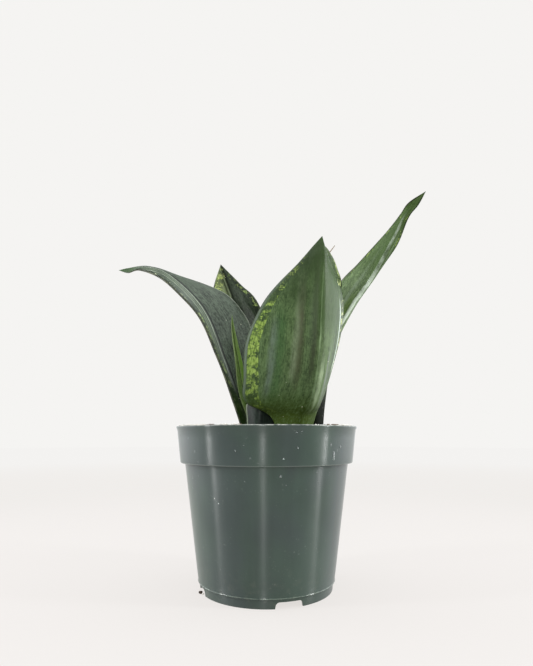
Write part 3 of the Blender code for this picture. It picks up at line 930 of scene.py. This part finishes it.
sheath_skin = leaf_skin(
    "sheath_skin",
    dark=srgb(6, 10, 8),
    light=srgb(42, 56, 46),
    contrast=0.9,
    gloss=0.22,
    lines=((-1, 0.5, 0.9, 6, 40, srgb(120, 130, 108), 0.9),),
    base=(srgb(16, 22, 12), 12, 0.5),
    seed=160.0,
)
SHEATH = (
    ((-11, -8, 82), (-4, -12.5, 82), (5, -7, 82)),
    ((-11.5, -8, 100), (-4, -12.5, 100), (5, -7, 100)),
    ((-11.4, -8, 111), (-3, -12, 111), (4, -8, 111)),
    ((-2, -11, 121), (-2, -11, 121), (-2, -11, 121)),
)
add_leaf(
    "sheath", "basal_sheath", SHEATH, 1.2 * MM, 0.6, [sheath_skin, sheath_skin, pale_edge],
    waviness=0.2, seed=7.0,
)


# Awn. The inner leaf ends in a dry, brown awn as thin as a bristle, grown with the blade
# and left standing when the rolled tip opened. AWN holds its two ends in millimetres.
AWN = ((36.2, -12.6, 197.4), (39.9, -12, 202.4))
AWN_BASE_RADIUS = 0.36 * MM
AWN_TIP_RADIUS = 0.18 * MM
AWN_SIDES = 8
AWN_CUTS = 4
AWN_BEND = 0.3 * MM

awn_skin, wire, shader = surface("awn_skin", {"IOR": 1.4})
fibres = wire.node("ShaderNodeTexCoord", output="Object").noise(2500.0, 3.0)
feed(shader, "Base Color", fibres.mix(srgb(92, 78, 62), srgb(160, 144, 122)))
feed(shader, "Roughness", 0.6 + fibres * 0.3)
bm = bmesh.new()
start, end = Vector(AWN[0]) * MM, Vector(AWN[1]) * MM
length = (end - start).length
bmesh.ops.create_cone(
    bm, cap_ends=True, segments=AWN_SIDES, radius1=AWN_BASE_RADIUS, radius2=AWN_TIP_RADIUS,
    depth=length,
)
long_edges = [edge for edge in bm.edges if edge.calc_length() > length / 2]
bmesh.ops.subdivide_edges(bm, edges=long_edges, cuts=AWN_CUTS)
for vert in bm.verts:
    vert.co.x += AWN_BEND * (1 - (vert.co.z * 2 / length) ** 2)
turn = (end - start).to_track_quat("Z", "Y").to_matrix()
bmesh.ops.rotate(bm, cent=(0, 0, 0), matrix=turn, verts=bm.verts)
bmesh.ops.translate(bm, vec=(start + end) / 2, verts=bm.verts)
add_piece("awn", bm, [awn_skin])


# Water and grit. Beads of water cling to the pot from its last watering, pale grit lies
# along its lip, and one crumb of bark with a fleck of perlite sits in the left-hand notch.
# BEADS holds (degrees round from the front, height and size in mm, how far it has run).
BEADS = (
    (9.4, 79.6, 0.5, 1.4), (-9.0, 80.0, 0.4, 1.0), (46.0, 83.4, 0.5, 1.0),
    (40.0, 86.6, 0.6, 1.6), (16.5, 93.0, 0.5, 1.0), (19.5, 93.4, 0.45, 1.0),
    (17.5, 85.2, 0.6, 1.0), (49.0, 85.4, 0.8, 1.0), (-17.5, 83.6, 0.55, 1.0),
    (-47.0, 83.0, 0.75, 1.4), (-44.5, 77.6, 0.5, 1.0), (-53.5, 90.0, 0.6, 1.0),
    (8.5, 70.6, 0.7, 1.3), (12.0, 66.0, 0.4, 1.0), (33.0, 72.5, 0.6, 1.0),
    (-58.0, 68.0, 0.6, 1.6), (-60.0, 62.0, 0.5, 1.2), (-36.0, 58.0, 0.5, 2.0),
    (-33.0, 55.5, 0.35, 1.0), (43.0, 81.0, 1.0, 3.4),
)
BEAD_SEED = 5
FINE_BEADS = 56
BEAD_SPREAD = 1.7
LIP_CRUMBS = 130
LIP_CLUSTERS = (-1.05, -0.85, -0.6, -0.4, 0.62, 0.85, 2.2, 3.4, 4.4)
CLUSTER_SPREAD = 0.13


def wall_point(angle, z):
    """The point on the pot's outer wall at this angle round from the front."""
    radius = collar_radius(z) if z > COLLAR_BOTTOM_Z else wall_radius(z)
    return outward(angle) * radius + Vector((0, 0, z))


water, wire, shader = surface(
    "water", {"Roughness": 0.03, "IOR": 1.33, "Transmission Weight": 0.75}
)
place = wire.node("ShaderNodeTexCoord", output="Object")
# The beads' pale colour is partly a faint mineral cloudiness and partly painted light, standing in
# for the bright glints and caustics of clear water.
feed(shader, "Base Color", place.noise(900.0, 2.0).mix(srgb(196, 208, 204), srgb(228, 236, 234)))
draw = random.Random(BEAD_SEED)
beads = [(math.radians(around), z * MM, size * MM, run) for around, z, size, run in BEADS]
for _ in range(FINE_BEADS):
    around, z = draw.uniform(-math.pi, math.pi), (94 - 36 * draw.random() ** 1.6) * MM
    beads.append((around, z, draw.uniform(0.15, 0.34) * MM, 1.0 + 0.6 * draw.random()))
bm = bmesh.new()
for around, z, size, run in beads:
    drop = bmesh.new()
    bmesh.ops.create_icosphere(drop, subdivisions=2, radius=size * BEAD_SPREAD / 2)
    for vert in drop.verts:
        sag = 1 - 0.25 * vert.co.z / size
        vert.co = Vector((vert.co.x * sag, vert.co.y * 0.45, vert.co.z * run))
    centre = wall_point(around, z) - outward(around) * size * 0.05
    put_in(bm, drop, Matrix.Rotation(around, 3, "Z"), centre)
add_piece("water_beads", bm, [water])

lip_grit, wire, shader = surface("lip_grit", {"IOR": 1.45})
place = wire.node("ShaderNodeTexCoord", output="Object")
mineral = place.noise(1800.0, 3.0)
kind = place.noise(90.0, 1.0).rise(0.55, 0.62)
pale_grit = mineral.mix(srgb(190, 188, 178), srgb(236, 234, 226))
feed(shader, "Base Color", kind.mix(pale_grit, srgb(96, 80, 62)))
feed(shader, "Roughness", 0.7 + mineral * 0.25)
bump(shader, mineral, 0.0002, 0.7)
bm = bmesh.new()
for _ in range(LIP_CRUMBS):
    size = draw.uniform(0.4, 1.1) * MM
    size = (size * draw.uniform(1, 1.8), size, size * 0.7)
    around = draw.choice(LIP_CLUSTERS) + draw.gauss(0, CLUSTER_SPREAD)
    centre = outward(around) * (lip_centre[0] + draw.uniform(-0.3, 0.3) * MM)
    centre.z = POT_HEIGHT + size[2] * 0.15
    shift = Vector((draw.uniform(-9, 9), draw.uniform(-9, 9), 0))
    turn = Matrix.Rotation(around, 3, "Z")
    put_in(bm, lump_of("angular", size, 0.6, shift), turn, centre)
add_piece("lip_grit", bm, [lip_grit])

for kind, material, centre, size in (
    ("bark", bark_chip, (-38.0, -15.6, 1.05), (2.3, 2.0, 1.6)),
    ("perlite", perlite_grain, (-36.5, -17.0, 0.75), (1.3, 1.2, 1.1)),
):
    bm = bmesh.new()
    lump = lump_of("round", Vector(size) * MM, 0.5, Vector(centre))
    put_in(bm, lump, Matrix.Identity(3), Vector(centre) * MM)
    add_piece("notch_" + kind, bm, [material])


# Floor and studio. A plain pale floor under broad, soft light: a bright surround behind
# and beside the plant, a dim front, and tall strip lamps that streak the pot's plastic.
FLOOR_RADIUS = 4.0
FLOOR_SIDES = 128
STRIP_MIDDLE = 0.46
STRIP_LENGTH = 0.72

floor_paint, wire, shader = surface(
    "floor_paint",
    {"Roughness": 1.0, "Specular IOR Level": 0.0, "Emission Strength": 1.0},
)
px, py, _ = wire.node("ShaderNodeTexCoord", output="Object").xyz()
reach = px * px + py * py
near = reach.rise(0.36, 0.02)
glow = reach.rise(0.2, 2.5).mix((0.872, 0.85, 0.826, 1.0), (0.9, 0.89, 0.875, 1.0))
feed(shader, "Base Color", near.mix((0.0, 0.0, 0.0, 1.0), (0.1, 0.1, 0.1, 1.0)))
feed(shader, "Emission Color", near.mix(glow, (0.725, 0.695, 0.67, 1.0)))
bm = bmesh.new()
bmesh.ops.create_circle(bm, cap_ends=True, segments=FLOOR_SIDES, radius=FLOOR_RADIUS)
floor_mesh = bpy.data.meshes.new("floor")
bm.to_mesh(floor_mesh)
bm.free()
floor_mesh.materials.append(floor_paint)
floor = bpy.data.objects.new("floor", floor_mesh)
bpy.context.scene.collection.objects.link(floor)

world = bpy.data.worlds.new("studio")
world.use_nodes = True
bpy.context.scene.world = world
wire = Wire(world.node_tree)
dx, dy, dz = wire.node("ShaderNodeTexCoord", output="Generated").xyz()
beside = abs(dx).rise(0.5, 0.9) * dy.rise(-0.2, 0.3)
level = 0.2 + dy.rise(-0.75, 0.1) * 1.1 + beside * 2.8
surround = level * (0.8 + dz.rise(0.0, 0.9) * 0.2)
backdrop = wire.node("ShaderNodeLightPath", output="Is Camera Ray")
strength = backdrop + (1 - backdrop) * surround
shade = backdrop.mix((0.98, 1.0, 1.04, 1.0), srgb(245, 244, 242))
background = world.node_tree.nodes["Background"]
feed(background, "Color", shade)
feed(background, "Strength", strength)


def lamp(name, place, target, size, power):
    """A rectangular lamp that faces the target and is itself unseen."""
    data = bpy.data.lights.new(name, "AREA")
    data.shape = "RECTANGLE"
    data.size, data.size_y = size
    data.energy = power
    obj = bpy.data.objects.new(name, data)
    obj.location = place
    obj.rotation_euler = (Vector(target) - Vector(place)).to_track_quat("-Z", "Y").to_euler()
    obj.visible_camera = False
    bpy.context.scene.collection.objects.link(obj)


def strip(name, angle, distance, width, power):
    """A tall strip lamp, hung this far round from the front."""
    place = outward(math.radians(angle)) * distance + Vector((0, 0, STRIP_MIDDLE))
    lamp(name, place, (0, 0, STRIP_MIDDLE), (width, STRIP_LENGTH), power)


strip("strip_left", -74, 0.75, 0.034, 4.6)
strip("strip_right", 76, 0.75, 0.034, 5.4)
strip("strip_front", -4.4, 1.1, 0.055, 4.2)
lamp("overhead", (0, -0.1, 1.6), (0, 0, 0.1), (1.6, 1.6), 7.0)
